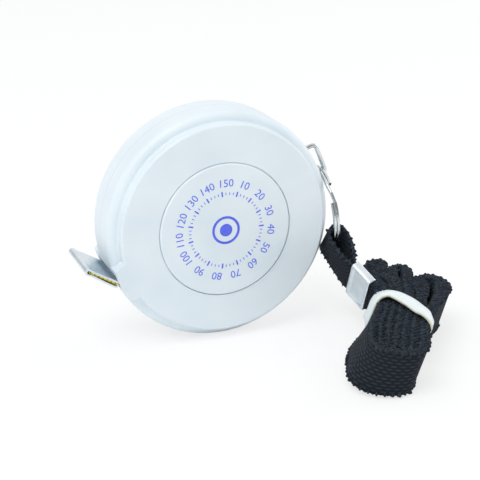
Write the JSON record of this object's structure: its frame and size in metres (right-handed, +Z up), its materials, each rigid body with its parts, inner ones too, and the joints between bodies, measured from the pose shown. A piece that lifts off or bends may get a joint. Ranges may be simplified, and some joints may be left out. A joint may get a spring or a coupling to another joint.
{
  "type": "tape measure",
  "caption": "Round push-button tape measure that stands on its rim, with a pull-out tape and a folded webbing lanyard on a split ring.",
  "frame": {"origin": "centre of the case's round back face", "axes": "+X right seen from the front, +Y out of the back face, +Z up; the case stands on its rim"},
  "size_m": [0.0788, 0.0572, 0.05],
  "materials": {
    "case_abs": "satin white",
    "inner_plastic": "natural",
    "spring_steel": "blued",
    "tape_vinyl": "coated glass-fibre tape",
    "tab_plate": "bright nickel",
    "plated_wire": "bright nickel",
    "webbing": "ribbed woven polyester",
    "crimp_metal": "bright",
    "band_rubber": "flat white band"
  },
  "bodies": {
    "case": {"front_shell": "case_abs", "back_shell": "case_abs", "spring_cover": "inner_plastic", "mainspring": "spring_steel"},
    "spool": {"spool": "inner_plastic", "tape_winding": "tape_vinyl"},
    "tape": {"tape_lead": "tape_vinyl", "end_tab": "tab_plate"},
    "button": {"push_button": "case_abs", "brake_ring": "inner_plastic", "button_spring": "spring_steel"},
    "bail": {"bail": "plated_wire"},
    "lanyard": {"split_ring": "plated_wire", "lanyard_loop": "webbing", "lanyard_crimp": "crimp_metal", "lanyard_strap": "webbing", "lanyard_hank": "webbing", "rubber_band": "band_rubber"}
  },
  "joints": [
    {"name": "spool_spin", "type": "hinge", "parent": "case", "child": "spool", "pos_m": [0, -0.00815, 0], "axis": [0, 1, 0], "range_deg": [0, 4310]},
    {"name": "tape_pull", "type": "slide", "parent": "case", "child": "tape", "axis": [-0.866, 0, 0.5], "range_m": [0, 1.5]},
    {"name": "button_press", "type": "slide", "parent": "case", "child": "button", "axis": [0, 1, 0], "range_m": [0, 0.0012], "stiffness_N_per_m": 1000, "springref_m": -0.001, "deforming": ["button_spring"]},
    {"name": "bail_swing", "type": "hinge", "parent": "case", "child": "bail", "pos_m": [0.02108, -0.00815, 0.00895], "axis": [-0.3907, 0, 0.9205], "range_deg": [-10, 10]},
    {"name": "lanyard_swing", "type": "hinge", "parent": "case", "child": "lanyard", "pos_m": [0.02581, -0.0082, -0.0013], "axis": [-0.9945, 0.0695, -0.0785], "range_deg": [0, 38]}
  ],
  "couplings": [
    {"joint": "tape_pull", "follows": "spool_spin", "m_per_rad": 0.019925}
  ]
}
